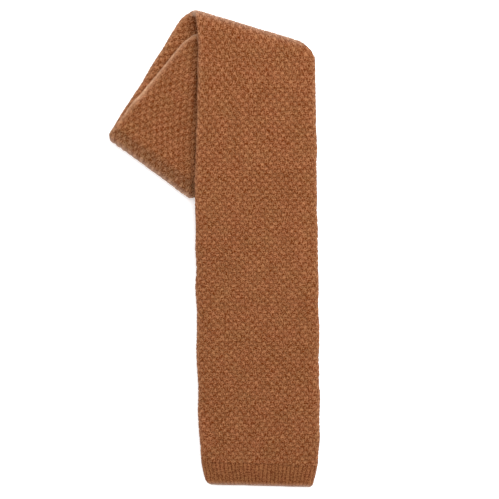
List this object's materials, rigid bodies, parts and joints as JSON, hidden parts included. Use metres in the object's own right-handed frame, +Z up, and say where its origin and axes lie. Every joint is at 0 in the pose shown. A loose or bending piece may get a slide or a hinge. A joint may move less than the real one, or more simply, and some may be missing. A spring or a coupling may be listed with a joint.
{
  "type": "folded knit tie",
  "caption": "Seed-stitch knitted necktie with square ribbed ends, pressed flat and folded in four, lying face up.",
  "frame": {"origin": "on the surface that the tie lies on, under the middle of the whole tie's box", "axes": "+X across the blade to the picture's right, +Y up the blade towards the first fold, +Z up out of the surface, towards the camera"},
  "size_m": [0.1218, 0.2768, 0.014],
  "materials": {
    "knit": "soft brushed seed-stitch knit in tan brown, matt with a light fuzz",
    "rib": "fine ribbed knit in the same yarn, matt and slightly darker",
    "seam": "linked closing row in the same yarn, worn a little lighter"
  },
  "bodies": {
    "root": {"knit_body": "knit", "blade_end_band": "rib", "blade_end_seam": "seam", "tail_end_band": "rib", "tail_end_seam": "seam"}
  },
  "joints": []
}
